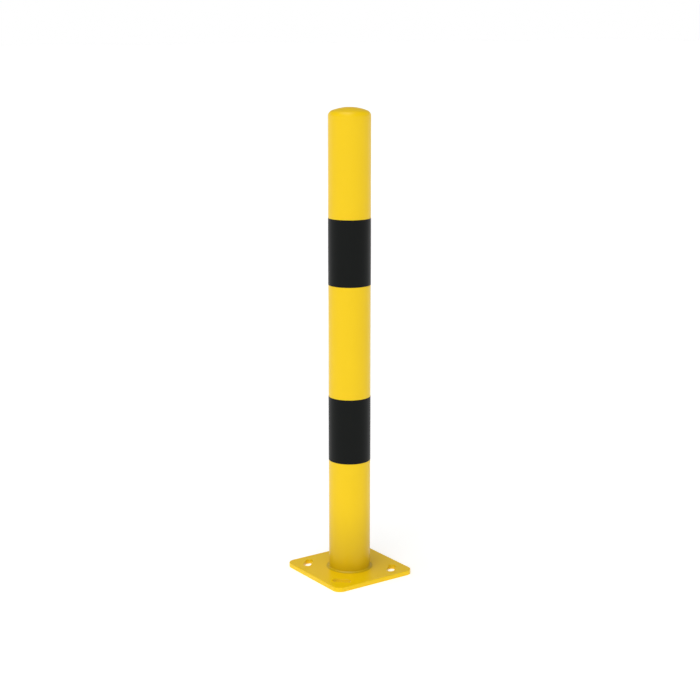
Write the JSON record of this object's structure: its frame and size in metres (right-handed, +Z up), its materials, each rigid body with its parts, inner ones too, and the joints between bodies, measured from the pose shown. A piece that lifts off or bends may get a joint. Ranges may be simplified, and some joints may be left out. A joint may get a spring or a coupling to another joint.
{
  "type": "steel safety bollard",
  "caption": "Upright yellow steel bollard with black bands and a domed cap, welded to a square slotted foot plate that bolts to a floor.",
  "frame": {"origin": "middle of the foot plate's underside, on the floor", "axes": "+Z up along the tube; +X and +Y square to the sides of the foot plate"},
  "size_m": [0.2, 0.2, 1],
  "materials": {
    "yellow_powder_coat": "satin-gloss polyester powder coat, traffic yellow, over steel",
    "black_film": "satin black self-adhesive vinyl film"
  },
  "bodies": {
    "root": {"base_plate": "yellow_powder_coat", "base_weld": "yellow_powder_coat", "post_tube": "yellow_powder_coat", "cap_weld": "yellow_powder_coat", "domed_cap": "yellow_powder_coat", "lower_black_band": "black_film", "upper_black_band": "black_film"}
  },
  "joints": []
}
